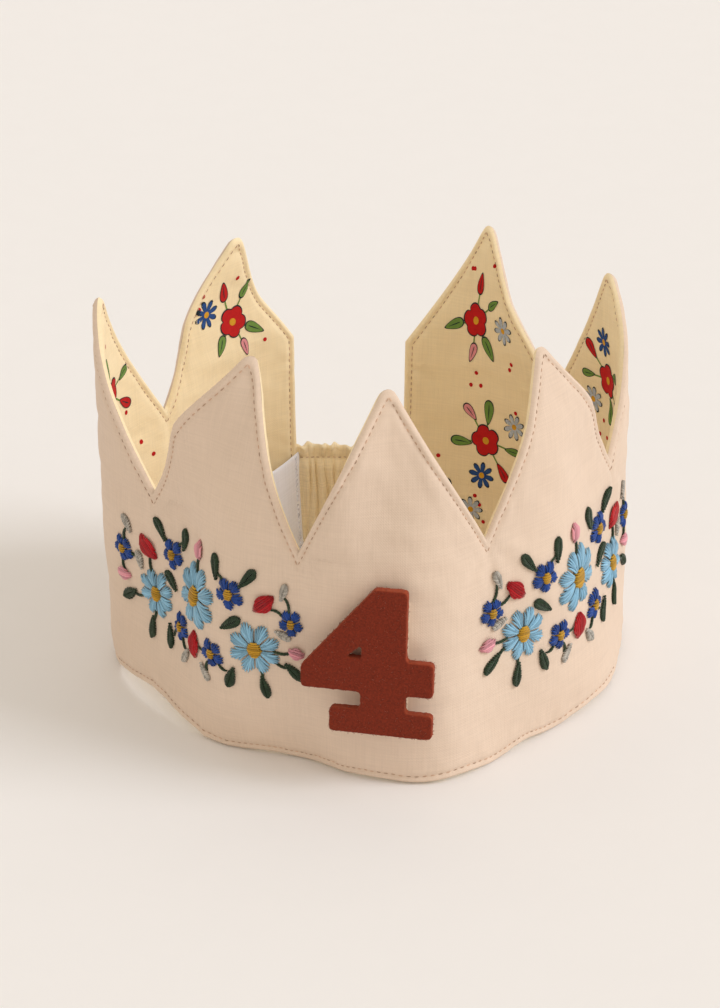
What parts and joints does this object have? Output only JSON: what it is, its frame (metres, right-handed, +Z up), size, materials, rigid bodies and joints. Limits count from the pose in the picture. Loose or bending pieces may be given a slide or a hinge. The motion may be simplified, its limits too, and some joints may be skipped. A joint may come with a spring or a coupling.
{
  "type": "padded fabric birthday crown",
  "caption": "Soft padded cotton crown for a child's head, with pointed rim, gathered elastic back, stitched flowers and a felt figure on hook-and-loop tape.",
  "frame": {"origin": "on the table, under the centre of the crown's bounding box", "axes": "+Z up through the head opening, -Y out of the front point with the felt figure, +X to the right of a viewer who faces the front"},
  "size_m": [0.1636, 0.1608, 0.1213],
  "materials": {
    "outer_cotton": "matt woven cotton",
    "lining_cotton": "matt printed cotton",
    "wadding": "soft needled wadding",
    "casing_cotton": "matt gathered cotton",
    "elastic_webbing": "ribbed woven elastic",
    "label_tape": "fine woven tape",
    "rust_felt": "dense felt",
    "hook_tape": "nylon hooks on woven tape",
    "loop_tape": "nylon loops on woven tape",
    "thread_sky_blue": "satin stitched thread",
    "thread_navy": "satin stitched thread",
    "thread_ochre": "satin stitched thread",
    "thread_red": "satin stitched thread",
    "thread_pink": "satin stitched thread",
    "thread_green": "satin stitched thread",
    "thread_grey": "satin stitched thread"
  },
  "bodies": {
    "root": {"outer_shell": "outer_cotton", "lining": "lining_cotton", "interlining": "wadding", "back_casing": "casing_cotton", "elastic_band": "elastic_webbing", "side_label": "label_tape", "felt_number": "rust_felt", "number_hook_patch": "hook_tape", "front_loop_patch": "loop_tape", "left_blue_blossoms": "thread_sky_blue", "left_navy_blossoms": "thread_navy", "left_ochre_centres": "thread_ochre", "left_red_buds": "thread_red", "left_pink_buds": "thread_pink", "left_green_leaves": "thread_green", "left_grey_leaves": "thread_grey", "right_blue_blossoms": "thread_sky_blue", "right_navy_blossoms": "thread_navy", "right_ochre_centres": "thread_ochre", "right_red_buds": "thread_red", "right_pink_buds": "thread_pink", "right_green_leaves": "thread_green", "right_grey_leaves": "thread_grey"}
  },
  "joints": []
}
